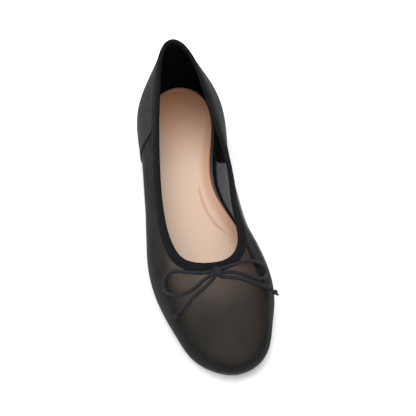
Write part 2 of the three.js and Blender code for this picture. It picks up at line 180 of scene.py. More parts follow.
# The wall's profile at each turn, as the corners of a Bezier curve from the feather line up to the topline
def profileCorners(turn):
    foot, top = featherAt(turn), toplineAt(turn)
    belly = outwardOf(featherAt, turn) * (column["belly"](turn) * wall["bulge"])[..., None]
    belly[..., 2] = column["bellyRise"](turn) * last["backHeight"]
    crown = outwardOf(toplineAt, turn) * (column["crown"](turn) * wall["vampReach"])[..., None]
    crown[..., 2] = -column["crownFall"](turn) * wall["vampFall"]
    return foot, foot + belly, top + crown, top


def bezier(corners, v):
    v = v[..., None]
    a = 1 - v
    p, q, r, s = corners
    return a**3 * p + 3 * a * a * v * q + 3 * a * v * v * r + v**3 * s


def bezierWay(corners, v):
    v = v[..., None]
    a = 1 - v
    p, q, r, s = corners
    return 3 * a * a * (q - p) + 6 * a * v * (r - q) + 3 * v * v * (s - r)


# Along-wall depths below the topline for evenly spaced curve values, one row for each turn
def measuredProfiles(turns):
    samples = np.linspace(1, 0, profileSamples)
    corners = [corner[:, None, :] for corner in profileCorners(turns)]
    points = bezier(corners, np.broadcast_to(samples, (len(turns), len(samples))))
    steps = np.linalg.norm(np.diff(points, axis=1), axis=2)
    return samples, np.concatenate([np.zeros((len(turns), 1)), np.cumsum(steps, axis=1)], axis=1)


def wallDepth(turns):
    return measuredProfiles(turns)[1][:, -1]


# Points and outward normals on the wall, for one row of depths below the topline at each turn
def onWall(turns, depths):
    samples, lengths = measuredProfiles(turns)
    values = np.stack([np.interp(depths[i], lengths[i], samples) for i in range(len(turns))])
    corners = [corner[:, None, :] for corner in profileCorners(turns)]
    ahead = [corner[:, None, :] for corner in profileCorners(turns + turnStep)]
    behind = [corner[:, None, :] for corner in profileCorners(turns - turnStep)]
    normals = np.cross(bezier(ahead, values) - bezier(behind, values), bezierWay(corners, values))
    return bezier(corners, values), normals / np.linalg.norm(normals, axis=2, keepdims=True)


def offWall(turns, depths, offsets):
    points, normals = onWall(turns, depths)
    return points + normals * np.broadcast_to(offsets, depths.shape)[..., None]


# Lengths along rows of points, from nought at each row's start
def runLengths(points, axis):
    steps = np.linalg.norm(np.diff(points, axis=axis), axis=-1)
    start = np.zeros_like(np.take(steps, [0], axis=axis))
    return np.concatenate([start, np.cumsum(steps, axis=axis)], axis=axis)


# Millimetres in the part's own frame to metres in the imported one
def toMetres(points):
    return (np.asarray(points, float) - shoeMiddle) * mm


# Triangles' signed volume is below nought where the faces look inward
def signedVolume(points, faces):
    corners = [face[:3] for face in faces if len(face) < 5]
    corners += [face[:1] + face[2:] for face in faces if len(face) == 4]
    a, b, c = (points[corner] - points.mean(axis=0) for corner in np.array(corners).T)
    return np.einsum("ij,ij->i", a, np.cross(b, c)).sum()


# A skin over a run of closed loops: a ring, or open with both ends capped
def loopSkin(loops, isRing=False):
    count, size = loops.shape[:2]
    wrapped = np.concatenate([loops, loops[:1]]) if isRing else loops
    wrapped = np.concatenate([wrapped, wrapped[:, :1]], axis=1)
    across = runLengths(wrapped, 1) * mm
    along = runLengths(wrapped[:, :-1].mean(axis=1), 0) * mm
    points = loops.reshape(-1, 3)
    faces, maps = [], []
    for i in range(len(wrapped) - 1):
        for j in range(size):
            k, n = (j + 1) % size, (i + 1) % count
            faces.append((i * size + j, n * size + j, n * size + k, i * size + k))
            corners = ((i, j), (i + 1, j), (i + 1, j + 1), (i, j + 1))
            maps.append([(along[a], across[a, b]) for a, b in corners])
    if not isRing:
        faces += [tuple(range(size)), tuple((count - 1) * size + j for j in reversed(range(size)))]
        maps += [[(0, 0)] * size] * 2
    return points, faces, maps


# One mesh from several skins, each turned outward, with a texture map in metres
def addPiece(name, skins, values=None):
    points, faces, maps, before = [], [], [], 0
    for skinPoints, skinFaces, skinMaps in skins:
        isInward = signedVolume(skinPoints, skinFaces) < 0
        for face, corners in zip(skinFaces, skinMaps):
            face = tuple(i + before for i in face)
            faces.append(face[::-1] if isInward else face)
            maps += corners[::-1] if isInward else corners
        points.append(skinPoints)
        before += len(skinPoints)
    mesh = bpy.data.meshes.new(name)
    mesh.from_pydata(toMetres(np.concatenate(points)).tolist(), [], faces)
    mesh.uv_layers.new(name="UVMap").data.foreach_set("uv", np.array(maps, float).ravel())
    for key, amounts in (values or {}).items():
        made = mesh.attributes.new(key, "FLOAT", "POINT")
        made.data.foreach_set("value", np.asarray(amounts, float).ravel())
    mesh.polygons.foreach_set("use_smooth", [True] * len(mesh.polygons))
    mesh.update()
    piece = bpy.data.objects.new(name, mesh)
    bpy.context.scene.collection.objects.link(piece)
    return piece


def fitOut(piece, material, slot, *nodes):
    piece.data.materials.append(material)
    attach(piece, "root")
    if nodes:
        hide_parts(*nodes)
    return piece


# A value in a shader, which adds and multiplies as numbers do
class Value:
    def __init__(self, graph, output):
        self.graph = graph
        self.output = output

    def join(self, operation, *terms):
        return self.graph.node("Math", {"operation": operation}, dict(enumerate(terms)))

    def __add__(self, other):
        return self.join("ADD", self, other)

    def __radd__(self, other):
        return self.join("ADD", other, self)

    def __sub__(self, other):
        return self.join("SUBTRACT", self, other)

    def __rsub__(self, other):
        return self.join("SUBTRACT", other, self)

    def __mul__(self, other):
        return self.join("MULTIPLY", self, other)

    def __rmul__(self, other):
        return self.join("MULTIPLY", other, self)

    def __truediv__(self, other):
        return self.join("DIVIDE", self, other)

    def __rtruediv__(self, other):
        return self.join("DIVIDE", other, self)

    def __pow__(self, other):
        return self.join("POWER", self, other)

    def sine(self):
        return self.join("SINE", self)

    def size(self):
        return self.join("ABSOLUTE", self)

    def most(self, other):
        return self.join("MAXIMUM", self, other)

    def ramp(self, low, high, start=0.0, end=1.0):
        sockets = {"Value": self, "From Min": low, "From Max": high, "To Min": start, "To Max": end}
        return self.graph.node("MapRange", {"interpolation_type": "SMOOTHSTEP"}, sockets)


# One material's nodes
class Finish:
    def __init__(self, name):
        self.material = bpy.data.materials.new(name)
        self.material.use_nodes = True
        self.tree = self.material.node_tree
        self.tree.nodes.clear()

    def node(self, kind, settings, sockets, output=0):
        made = self.tree.nodes.new("ShaderNode" + kind)
        for key, setting in settings.items():
            setattr(made, key, setting)
        for key, value in sockets.items():
            if isinstance(value, Value):
                self.tree.links.new(value.output, made.inputs[key])
            else:
                made.inputs[key].default_value = value
        return Value(self, made.outputs[output]) if made.outputs else made

    def attribute(self, name):
        return self.node("Attribute", {"attribute_name": name}, {}, "Fac")

    def place(self):
        return self.node("TexCoord", {}, {}, "Object")

    def mapped(self):
        return self.node("UVMap", {"uv_map": "UVMap"}, {})

    def axis(self, vector, name):
        return self.node("SeparateXYZ", {}, {0: vector}, name)

    def stretch(self, vector, scale):
        return self.node("VectorMath", {"operation": "MULTIPLY"}, {0: vector, 1: scale})

    def noise(self, vector, scale, detail=3.0, roughness=0.5):
        sockets = {"Vector": vector, "Scale": scale, "Detail": detail, "Roughness": roughness}
        return self.node("TexNoise", {}, sockets)

    def mix(self, factor, first, second):
        return self.node("Mix", {"data_type": "RGBA"}, {0: factor, 6: first, 7: second}, 2)

    def bump(self, height, distance, strength=1.0):
        return self.node("Bump", {}, {"Height": height, "Distance": distance, "Strength": strength})

    def finish(self, sockets):
        shader = self.node("BsdfPrincipled", {}, sockets)
        self.node("OutputMaterial", {}, {"Surface": shader})
        return self.material


# A screen colour, 0 to 255, as the linear one that a shader takes
def colour(*parts):
    parts = (part / 255 for part in parts)
    linear = (part / 12.92 if part < 0.04045 else ((part + 0.055) / 1.055) ** 2.4 for part in parts)
    return (*linear, 1.0)


# Camera, at the photograph's angle
camera = {
    "target": (0.00699, -0.0015, 0.022),
    "distance": 0.79913,
    "elevation": 53.976,
    "azimuth": -7.169,
    "roll": -2.6,
    "lens": 102.8,
}


def placeCamera():
    made = bpy.data.objects.new("camera", bpy.data.cameras.new("camera"))
    bpy.context.scene.collection.objects.link(made)
    up, heading, roll = (math.radians(camera[key]) for key in ("elevation", "azimuth", "roll"))
    level = math.cos(up)
    toCamera = Vector((math.sin(heading) * level, -math.cos(heading) * level, math.sin(up)))
    aim = (-toCamera).to_track_quat("-Z", "Y").to_matrix() @ Matrix.Rotation(roll, 3, "Z")
    place = Vector(camera["target"]) + toCamera * camera["distance"]
    made.matrix_world = Matrix.Translation(place) @ aim.to_4x4()
    made.data.lens = camera["lens"]
    made.data.sensor_width = 36
    bpy.context.scene.camera = made


placeCamera()
print("camera placed")

# The bow: cord routes in millimetres, as the part's source has them
bow = {
    "loops": {
        "bow_loop_outer": [
            [-2, -59.9, 38.6], [-7.4, -59.3, 37.5], [-15.4, -57.2, 37.2], [-21.9, -54.6, 36.2],
            [-26.2, -53, 34.3], [-29.3, -53.4, 31.9], [-31.5, -55.6, 28.9], [-32.1, -59.3, 27],
            [-31, -62.7, 26.8], [-27.5, -66.3, 28.6], [-22.6, -68.6, 30.9], [-17.4, -68.7, 32.8],
            [-12.4, -67, 34.7], [-8, -64.7, 36.3], [-3.4, -62.6, 37.7],
        ],
        "bow_loop_inner": [
            [5.2, -59, 39.2], [9.4, -58, 38.3], [14.8, -56.2, 37.1], [20.2, -54.5, 35.9],
            [26.2, -53.6, 33.1], [30.1, -54.1, 30.5], [33.3, -55.7, 27.3], [33.8, -59.2, 26.2],
            [31.9, -63.3, 27.7], [28.2, -65.4, 29.9], [23.4, -64.6, 32.3], [18.6, -63, 34.2],
            [13.8, -61.8, 35.8], [9, -61.1, 37], [5.7, -61.4, 37.4],
        ],
    },
    "tails": {
        "bow_tail_outer": [
            [-0.9, -64.4, 37.2], [-6.7, -68.1, 35.1], [-15.2, -72.7, 32.1], [-22.8, -76.9, 27.6],
            [-25.6, -78.6, 25.3],
        ],
        "bow_tail_inner": [
            [4.6, -64.1, 36.9], [10.1, -64.8, 35.9], [14.9, -65.6, 34.7], [19.6, -66.9, 33.1],
            [24.4, -68.3, 31.1], [29.2, -69.4, 28.6], [33.3, -69.8, 25.4], [35.6, -70.4, 23.3],
        ],
    },
    "endKnots": {
        "tail_knot_outer": [[-25.9, -78.9, 25.2], [-30.2, -81.2, 21.5]],
        "tail_knot_inner": [[36.2, -70.8, 22.9], [39.1, -73.9, 20.2]],
    },
    "knotCentre": [1.8, -60.9, 39.1],
    "fill": (32, 35, 41),
    "shade": (12, 13, 16),
    "sheen": (190, 205, 225),
    "braidPitch": 1.5 * mm,
    "braidStrands": 3,
    "wraps": 2,
    "wrapRadius": 1.15,
    "wrapLean": 0.35,
    "wrapWidth": 2.5,
    "over": [[-2.4, 1.9, -0.3], [-1.2, 1.3, 1.2], [0.3, 0, 1.75], [1.6, -1.5, 1.1], [2.2, -2.6, -0.4]],
    "endKnotRadius": 0.88,
    "endKnotSize": 0.36,
    "fibres": 14,
    "firstSeed": 7,
}


# A smooth line through a route's points, even where they are unevenly spaced
def smoothRoute(points, steps):
    points = np.array(points, float)
    points = np.vstack([2 * points[0] - points[1], points, 2 * points[-1] - points[-2]])
    line = []
    for i in range(1, len(points) - 2):
        p = points[i - 1 : i + 3]
        t = np.concatenate([[0], np.cumsum(np.linalg.norm(np.diff(p, axis=0), axis=1) ** 0.5)])
        for s in np.linspace(t[1], t[2], steps, endpoint=i == len(points) - 3):
            a = [p[j] + (p[j + 1] - p[j]) * (s - t[j]) / (t[j + 1] - t[j]) for j in range(3)]
            b = [a[j] + (a[j + 1] - a[j]) * (s - t[j]) / (t[j + 2] - t[j]) for j in range(2)]
            line.append(b[0] + (b[1] - b[0]) * (s - t[1]) / (t[2] - t[1]))
    return np.array(line)


# Rings of points round a line, carried along it without twist
def tubeLoops(line, radii, sides=14, isRing=False):
    ways = np.gradient(line, axis=0)
    if isRing:
        ways = np.roll(line, -1, axis=0) - np.roll(line, 1, axis=0)
    ways /= np.linalg.norm(ways, axis=1, keepdims=True)
    side = np.cross(ways[0], [0.3, 0.2, 1])
    angles = np.arange(sides) * 2 * math.pi / sides
    loops = []
    for point, way, radius in zip(line, ways, np.broadcast_to(radii, len(line))):
        side = side - way * side.dot(way)
        side /= np.linalg.norm(side)
        up = np.cross(way, side)
        loops.append(point + radius * (np.outer(np.cos(angles), side) + np.outer(np.sin(angles), up)))
    return np.array(loops)


# Radii that round off a tube's two ends
def roundedRadii(line, radius):
    lengths = runLengths(line, 0)
    nearest = np.minimum(lengths, lengths[-1] - lengths)
    return radius * np.sqrt(1 - (1 - np.clip(nearest / radius, 0.03, 1)) ** 2)


def cordFinish():
    f = Finish("round cord")
    u, v = (f.axis(f.mapped(), name) for name in "XY")
    turns = v / (math.pi * cordDiameter * mm)
    strands = bow["braidStrands"] * turns
    lay = (2 * math.pi * (u / bow["braidPitch"] + strands)).sine()
    cross = (2 * math.pi * (u / bow["braidPitch"] - strands)).sine()
    braid = (lay * cross).ramp(-1, 1)
    fuzz = f.noise(f.place(), 900, 4)
    shade = f.mix(braid * 0.6 + fuzz * 0.4, colour(*bow["shade"]), colour(*bow["fill"]))
    sockets = {
        "Base Color": shade, "Roughness": fuzz.ramp(0.2, 0.8, 0.5, 0.7), "Specular IOR Level": 0.14,
        "Sheen Weight": 0.015, "Sheen Roughness": 0.5, "Sheen Tint": colour(*bow["sheen"]),
        "Normal": f.bump(braid * 0.8 + fuzz * 0.2, 0.12 * mm, 0.7),
    }
    return f.finish(sockets)


cordMaterial = cordFinish()


# The knot: two turns of cord round the bow's middle, and one that crosses over them
def bowKnot():
    centre = np.array(bow["knotCentre"])
    turn = np.linspace(0, 2 * math.pi * bow["wraps"], 28 * bow["wraps"])
    across = bow["wrapWidth"] * (turn / turn[-1] - 0.5) + bow["wrapLean"] * np.sin(turn)
    wraps = np.stack([across, 2.55 * np.cos(turn), 1.35 * np.sin(turn)], -1)
    over = smoothRoute(bow["over"], 6)
    radii = [roundedRadii(line, bow["wrapRadius"]) for line in (wraps, over)]
    skins = [loopSkin(tubeLoops(centre + line, radius)) for line, radius in zip((wraps, over), radii)]
    for route in [*bow["loops"].values(), *bow["tails"].values()]:
        ends = (route, route[::-1]) if route in bow["loops"].values() else (route,)
        for outer in ends:
            start, after = (np.array(place, float) for place in outer[:2])
            way = (start - after) / np.linalg.norm(start - after)
            inner = centre + (start - centre) * 0.25
            strand = smoothRoute([inner, (inner + start) / 2 + way * 0.3, start - way * 0.4], 5)
            skins.append(loopSkin(tubeLoops(strand, cordDiameter / 2 - 0.01)))
    return fitOut(addPiece("bow_knot_wraps", skins), cordMaterial, "bow_cord", "bow_knot")


# A small overhand knot with a short frayed end
def endKnot(name, places, seed):
    start, end = (np.array(place, float) for place in places)
    way = (end - start) / np.linalg.norm(end - start)
    side = np.cross(way, [0, 0, 1])
    side /= np.linalg.norm(side)
    axes = np.stack([side, np.cross(way, side), way])
    t = np.linspace(0, 2 * math.pi, 64, endpoint=False)
    trefoil = (np.sin(t) + 2 * np.sin(2 * t), np.cos(t) - 2 * np.cos(2 * t), -1.6 * np.sin(3 * t))
    body = start + way * 1.9 + (np.stack(trefoil, -1) * bow["endKnotSize"]) @ axes
    skins = [loopSkin(tubeLoops(body, bow["endKnotRadius"], isRing=True), True)]
    stub = smoothRoute([start + way * 1.2, start + way * 3, end - way * 0.9], 6)
    skins.append(loopSkin(tubeLoops(stub, np.linspace(1.0, 0.8, len(stub)))))
    rng = random.Random(seed)
    for _ in range(bow["fibres"]):
        spread = np.array([rng.uniform(-1, 1), rng.uniform(-1, 1), 0]) @ axes
        bends = [end - way * 1.4 + spread * 0.4, end - way * 0.4 + spread * 0.55, end + spread * 0.9]
        fibre = smoothRoute(bends, 4)
        skins.append(loopSkin(tubeLoops(fibre, np.linspace(0.16, 0.07, len(fibre)), 5)))
    return fitOut(addPiece(name + "_tied", skins), cordMaterial, "bow_cord", name)


# A tail goes into its own knot, and a loop goes back into the middle
def bowCords():
    knot = bowKnot()
    seeds = enumerate(bow["endKnots"].items(), bow["firstSeed"])
    ends = [endKnot(name, places, seed) for seed, (name, places) in seeds]
    runs = [(name, route, "object", [knot]) for name, route in bow["loops"].items()]
    runs += [(name, route, "knot", [end]) for (name, route), end in zip(bow["tails"].items(), ends)]
    for name, route, farEnd, withPieces in runs:
        line = smoothRoute(route, 6)
        tube = addPiece(name + "_cord", [loopSkin(tubeLoops(line, cordDiameter / 2))])
        fitOut(tube, cordMaterial, "bow_cord", name)


bowCords()
print("bow tied")

# Upper: one wall of sheer mesh, with its lasting margin turned in over the sole.
# Sheer is the share of light that one layer lets through.
upperLook = {
    "around": 400,
    "rows": 60,
    "tuck": 1.8,
    "weave": 0.6 * mm,
    "thread": (18, 20, 20),
    "glow": (31, 34, 34),
    "sheerThroat": 0.19,
    "sheerToe": 0.15,
    "sheerOuter": 0.03,
    "sheerInner": 0.13,
    "facing": (0.45, 0.95),
    "waist": (0.6, 0.78),
    "highSide": (0.4, 0.6),
    "hem": 4.5,
    "hemFade": 2.5,
    "lasting": 5,
    "lastingFall": (0.1, 0.2),
}
# Each soft crease: its turn, depth as a share of the wall, reach round, reach down, height in mm
creases = [
    (0.305, 0.45, 0.018, 0.30, -0.30),
    (0.345, 0.30, 0.014, 0.22, -0.22),
    (0.262, 0.60, 0.016, 0.30, -0.25),
    (0.700, 0.45, 0.016, 0.28, -0.30),
    (0.735, 0.60, 0.018, 0.30, -0.28),
    (0.662, 0.30, 0.014, 0.22, -0.20),
    (0.790, 0.55, 0.016, 0.32, -0.25),
    (0.505, 0.80, 0.060, 0.16, 0.25),
]


def creaseAt(turns, shares):
    depth = np.zeros((len(turns), len(shares)))
    for turn, share, reachRound, reachDown, height in creases:
        away = (np.mod(turns - turn + 0.5, 1) - 0.5)[:, None] / reachRound
        depth += height * np.exp(-(away**2) - ((shares[None] - share) / reachDown) ** 2)
    return depth


def meshFinish():
    f = Finish("sheer mesh")
    u, v = (f.axis(f.mapped(), name) for name in "XY")
    step = math.pi / (upperLook["weave"] * math.sqrt(2))
    threads = ((u + v) * step).sine().size().most(((u - v) * step).sine().size())
    holes = threads.ramp(0.99, 0.86)
    wander = f.noise(f.place(), 60, 3)
    sheer = f.attribute("sheer")
    cover = 1 - sheer * (0.88 + 0.24 * holes) * wander.ramp(0.25, 0.75, 0.94, 1.06)
    shade = f.mix(holes * 0.4 + wander * 0.4, colour(*upperLook["thread"]), colour(*upperLook["glow"]))
    sockets = {
        "Base Color": shade, "Roughness": 0.6, "Alpha": cover, "Specular IOR Level": 0.06,
        "Normal": f.bump(1 - holes, 0.03 * mm, 0.15),
    }
    return f.finish(sockets)


def upper():
    turns = np.arange(upperLook["around"]) / upperLook["around"]
    shares = np.linspace(1, 0, upperLook["rows"])
    foot = wallDepth(turns)[:, None]
    depths = upperLook["tuck"] + shares[None] * (foot - upperLook["tuck"])
    soft = creaseAt(turns, shares)
    points, normals = onWall(turns, depths)
    outside = points + normals * soft[..., None]
    inside = points + normals * (soft - wall["thickness"])[..., None]
    lasting = []
    reach, (above, below) = upperLook["lasting"], upperLook["lastingFall"]
    for inset, fall in ((1.5, above), (reach, above), (reach, below), (0.8, below)):
        edge = featherAt(turns) - outwardOf(featherAt, turns) * inset
        edge[:, 2] = soleTopAt(shareAt(edge)) + gap - fall
        lasting.append(edge)
    loops = np.concatenate([outside, inside[:, ::-1], np.stack(lasting, 1)], axis=1)
    facing = smoothBetween(normals[..., 2], *upperLook["facing"])
    waist = smoothBetween(turns, *upperLook["waist"])[:, None]
    fade = upperLook["hemFade"]
    nearHem = smootherStep((upperLook["hem"] - fade * waist - (foot - depths)) / fade)
    outer = upperLook["sheerOuter"] * (1 - smoothBetween(shares[None], *upperLook["highSide"]))
    side = outer + (upperLook["sheerInner"] - outer) * waist
    front = upperLook["sheerThroat"] + (upperLook["sheerToe"] - upperLook["sheerThroat"]) * shares[None]
    sheer = np.sqrt(side + (front - side) * facing) * (1 - nearHem)
    sheer = np.concatenate([sheer, sheer[:, ::-1], 0 * sheer[:, : len(lasting)]], axis=1)
    piece = addPiece("upper_mesh", [loopSkin(loops, True)], {"sheer": sheer})
    fitOut(piece, meshFinish(), "upper_mesh", "upper")


upper()
print("upper made")

# Binding: a ribbed tape folded over the topline
bindingLook = {
    "around": 480,
    "width": 6.2,
    "leg": 0.6,
    "crown": 1.5,
    "puff": 0.18,
    "lip": 0.15,
    "rib": 0.55 * mm,
    "stitch": 2.4 * mm,
    "tape": (13, 14, 16),
    # The tape's lighter edge colour is a painted highlight.
    "edge": (25, 27, 31),
    "thread": (6, 7, 8),
    "join": 0.897,
    "joinReach": 0.0028,
    "joinRise": 0.3,
}


def bindingFinish():
    f = Finish("binding tape")
    u = f.axis(f.mapped(), "X")
    ribs = (u * (2 * math.pi / bindingLook["rib"])).sine()
    fuzz = f.noise(f.place(), 700, 4)
    fold = f.attribute("fold")
    stitch = (u * (2 * math.pi / bindingLook["stitch"])).sine().ramp(-0.1, 0.1)
    stitch = stitch * fold.ramp(0.80, 0.83) * fold.ramp(0.90, 0.87)
    # The tape's lower edges are painted lighter, a painted highlight, with random fuzz mixed in.
    edge = fold.ramp(0.82, 1.0) * 0.7 + fuzz * 0.3
    shade = f.mix(edge, colour(*bindingLook["tape"]), colour(*bindingLook["edge"]))
    dark = (stitch * 0.5).most(f.attribute("join") * 0.8)
    shade = f.mix(dark, shade, colour(*bindingLook["thread"]))
    sockets = {
        "Base Color": shade, "Roughness": fuzz.ramp(0.2, 0.8, 0.6, 0.8), "Specular IOR Level": 0.06,
        "Normal": f.bump(ribs * 0.35 + fuzz * 0.3 - stitch, 0.10 * mm, 0.6),
    }
    return f.finish(sockets)


# The tape's section as offsets and depths, round from the outer leg over the edge to the slot
def bindingSection():
    width, leg, crown, puff, lip = (bindingLook[key] for key in ("width", "leg", "crown", "puff", "lip"))
    outer = gap + leg
    inner = -wall["thickness"] - gap - leg
    middle = -wall["thickness"] / 2
    down = np.linspace(1, 0, 12)
    swell = puff * np.sin(math.pi * np.clip(down * 1.05, 0, 1)) ** 0.6
    drop = crown + down * (width - lip - 0.1 - crown)
    outside = np.stack([outer + swell, drop], -1)
    around = np.linspace(0, math.pi, 13)[1:-1]
    top = np.stack([middle + (outer - middle) * np.cos(around), crown - crown * np.sin(around)], -1)
    inside = np.stack([inner - swell * 0.5, drop], -1)[::-1]
    low = width - 0.1
    slot = [[inner + lip, width], [inner + leg, low], [inner + leg, crown], [gap, crown], [gap, low]]
    return np.concatenate([[[outer - lip, width]], outside, top, inside, slot])


def binding():
    turns = np.arange(bindingLook["around"]) / bindingLook["around"]
    section = bindingSection()
    depths = np.broadcast_to(section[:, 1], (len(turns), len(section)))
    join = np.exp(-(((turns - bindingLook["join"]) / bindingLook["joinReach"]) ** 2))[:, None]
    isProud = (section[:, 0] > -wall["thickness"] / 2) & (section[:, 1] < bindingLook["width"] - 0.5)
    loops = offWall(turns, depths, section[None, :, 0] + bindingLook["joinRise"] * join * isProud)
    fold = np.broadcast_to(section[:, 1] / bindingLook["width"], depths.shape)
    piece = addPiece("binding_fold", [loopSkin(loops, True)], {"fold": fold, "join": join + 0 * fold})
    fitOut(piece, bindingFinish(), "binding_tape", "binding")


binding()
print("binding made")

# Back panel round the heel, with slanted stitched fronts, and the black lining inside it
panelLook = {
    "around": 190,
    "rows": 28,
    "thickness": 0.5,
    "hem": 0.9,
    "outerSeam": (0.168, 0.175),
    "innerSeam": (0.812, 0.859),
    "rim": np.array([0, 0.00022, 0.00055, 0.0011]),
    "rimRadius": 0.45,
    "turnLength": 620,
    "weave": 0.8 * mm,
    "stitch": 2.3 * mm,
    "cloth": (21, 23, 26),
    "glow": (36, 39, 43),
    "thread": (15, 16, 18),
    "sheen": (200, 212, 228),
}
liningLook = {
    "thickness": 0.35,
    "standOff": 0.08,
    "underTape": 0.6,
    "hem": 1.4,
    "outerEdge": (0.178, 0.186),
    "innerEdge": (0.810, 0.857),
    "cloth": (4, 4, 4),
    "glow": (12, 12, 12),
}


def clothFinish(name, look, shine, hasStitches):
    f = Finish(name)
    u, v = (f.axis(f.mapped(), axis) for axis in "XY")
    thread = 2 * math.pi / panelLook["weave"]
    weave = ((u + v) * thread).sine() * ((u - v) * thread).sine()
    fuzz = f.noise(f.place(), 400, 4)
    wander = f.noise(f.place(), 35, 3)
    mottle = weave * 0.15 + fuzz * 0.25 + wander * 0.45
    shade = f.mix(mottle, colour(*look["cloth"]), colour(*look["glow"]))
    height = weave * 0.4 + fuzz * 0.4
    if hasStitches:
        seam = f.attribute("seam")
        stitch = (v * (2 * math.pi / panelLook["stitch"])).sine().ramp(-0.2, 0.2)
        row = stitch * seam.ramp(0.7, 1.0) * seam.ramp(1.9, 1.6)
        shade = f.mix(row * 0.6, shade, colour(*panelLook["thread"]))
        height = height - 1.5 * row
    sockets = {
        "Base Color": shade, "Roughness": fuzz.ramp(0.2, 0.8, 0.55, 0.7), "Specular IOR Level": shine,
        "Sheen Weight": shine * 0.1, "Sheen Roughness": 0.45, "Sheen Tint": colour(*panelLook["sheen"]),
        "Normal": f.bump(height, 0.1 * mm, 0.6),
    }
    return f.finish(sockets)


# A sheet on the wall between two slanted ends, at two offsets from the wall's outer face
def wallSheet(name, innerEdge, outerEdge, low, high, topDepth, hem):
    shares = np.linspace(0, 1, panelLook["rows"])
    start = innerEdge[0] - 1 + (innerEdge[1] - innerEdge[0]) * shares
    stop = outerEdge[0] + (outerEdge[1] - outerEdge[0]) * shares
    middle = (low + high) / 2
    rim = panelLook["rim"]
    run = np.linspace(0, 1, panelLook["around"])
    loops, seams = [], []
    for place in np.concatenate([rim, run[1:-1], 1 - rim[::-1]]):
        turns = start + (stop - start) * place
        foot = wallDepth(turns) - hem
        depths = (topDepth + shares * (foot - topDepth))[:, None]
        fromEnd = np.minimum(place, 1 - place) * (stop - start) * panelLook["turnLength"]
        body = np.sqrt(1 - (1 - np.clip(fromEnd / panelLook["rimRadius"], 0.1, 1)) ** 2)
        half = (high - low) / 2 * body
        far = offWall(turns, depths, (middle + half)[:, None])[:, 0]
        near = offWall(turns, depths, (middle - half)[:, None])[:, 0]
        loops.append(np.concatenate([far, near[::-1]]))
        seams.append(np.concatenate([fromEnd, fromEnd[::-1]]))
    return addPiece(name, [loopSkin(np.array(loops))], {"seam": np.array(seams)})


def backPanel():
    low, high = gap, gap + panelLook["thickness"]
    top = bindingLook["width"] + gap
    seams = panelLook["innerSeam"], panelLook["outerSeam"]
    piece = wallSheet("panel_overlay", *seams, low, high, top, panelLook["hem"])
    fitOut(piece, clothFinish("panel cloth", panelLook, 0.08, True), "panel_cloth", "back_panel")


def heelLining():
    high = -wall["thickness"] - liningLook["standOff"]
    low = high - liningLook["thickness"]
    top = bindingLook["width"] - liningLook["underTape"]
    edges = liningLook["innerEdge"], liningLook["outerEdge"]
    piece = wallSheet("heel_lining", *edges, low, high, top, liningLook["hem"])
    fitOut(piece, clothFinish("heel lining cloth", liningLook, 0.05, False), "panel_cloth")


backPanel()
heelLining()
print("back panel and lining made")

# The feather line drawn in by a length, for the flat pieces
def outlineAt(turn, inset):
    return featherAt(turn) - outwardOf(featherAt, turn) * np.asarray(inset)[..., None]


# The turn between two others where a measure changes its sign, by halving
def turnWhere(measure, low, high):
    start = measure(low) > 0
    for _ in range(40):
        middle = (low + high) / 2
        isLow = (measure(middle) > 0) == start
        low, high = np.where(isLow, middle, low), np.where(isLow, high, middle)
    return (low + high) / 2


# Pairs of turns, one on each side, that lie straight across from each other
plateRows = 130
plateColumns = 26
tipTurn = float(turnWhere(lambda turn: column["along"](turn + turnStep) - column["along"](turn), 0.45, 0.6))
pairShares = (1 - np.cos(math.pi * (np.arange(plateRows) + 0.5) / plateRows)) / 2
outerTurns, innerTurns = (
    turnWhere(lambda turn: column["along"](turn) - pairShares, heelTurn, np.full(plateRows, tipTurn))
    for heelTurn in (np.zeros(plateRows), np.ones(plateRows))
)
plateTurns = np.concatenate([outerTurns, innerTurns[::-1]])


# A plate's skin: rings of its edge from below to above, closed by a grid on each side.
# The edge's steps are inset, height off the face, and whether that face is the top one.
def plateSkin(insetAt, edge, bottomAt, topAt):
    rings = []
    for inset, height, isTop in edge:
        ring = outlineAt(plateTurns, insetAt(plateTurns) + inset)
        ring[:, 2] = (topAt if isTop else bottomAt)(ring, 1.0) + height
        rings.append(ring)
    size = len(plateTurns)
    points = list(np.concatenate(rings))
    faces = []
    for i in range(len(rings) - 1):
        for j in range(size):
            k = (j + 1) % size
            faces.append((i * size + j, i * size + k, (i + 1) * size + k, (i + 1) * size + j))
    for level, heightAt in ((0, bottomAt), (len(rings) - 1, topAt)):
        rows = []
        lift = edge[level][1]
        for i in range(plateRows):
            left, right = level * size + i, level * size + size - 1 - i
            row = [left]
            for t in np.arange(1, plateColumns) / plateColumns:
                point = points[left] * (1 - t) + points[right] * t
                point[2] = heightAt(point, abs(2 * t - 1)) + lift
                row.append(len(points))
                points.append(point)
            rows.append(row + [right])
        for first, second in zip(rows, rows[1:]):
            quads = [(first[j], second[j], second[j + 1], first[j + 1]) for j in range(plateColumns)]
            faces += [quad[::-1] for quad in quads] if level == 0 else quads
    points = np.array(points)
    maps = [[(points[i][0] * mm, points[i][1] * mm) for i in face] for face in faces]
    return points, faces, maps


def roundedEdge(radius, height, isTop, steps=5):
    way = -radius if isTop else radius
    angles = np.linspace(0, math.pi / 2, steps)
    edge = [(radius * (1 - math.cos(a)), height + way * (1 - math.sin(a)), isTop) for a in angles]
    return edge if isTop else edge[::-1]


# Sole and heel: rubber with a fine tread
soleLook = {
    "rubber": (30, 30, 31),
    "worn": (52, 52, 53),
    "tread": 2.6 * mm,
    "treadWave": 0.6 * mm,
    "ballEnd": (12 * mm, 4 * mm),
    "heelStart": (66 * mm, 72 * mm),
    "heelLines": ((2.2, 0), (2.35, 0.25), (2.6, 0.25), (2.75, 0), (5, 0)),
}


# Heights of the faces at a point, where ring is nought on the middle line and one at the edge
def underAt(point, ring):
    return undersideAt(shareAt(point))


def topSoleAt(point, ring):
    return soleTopAt(shareAt(point))


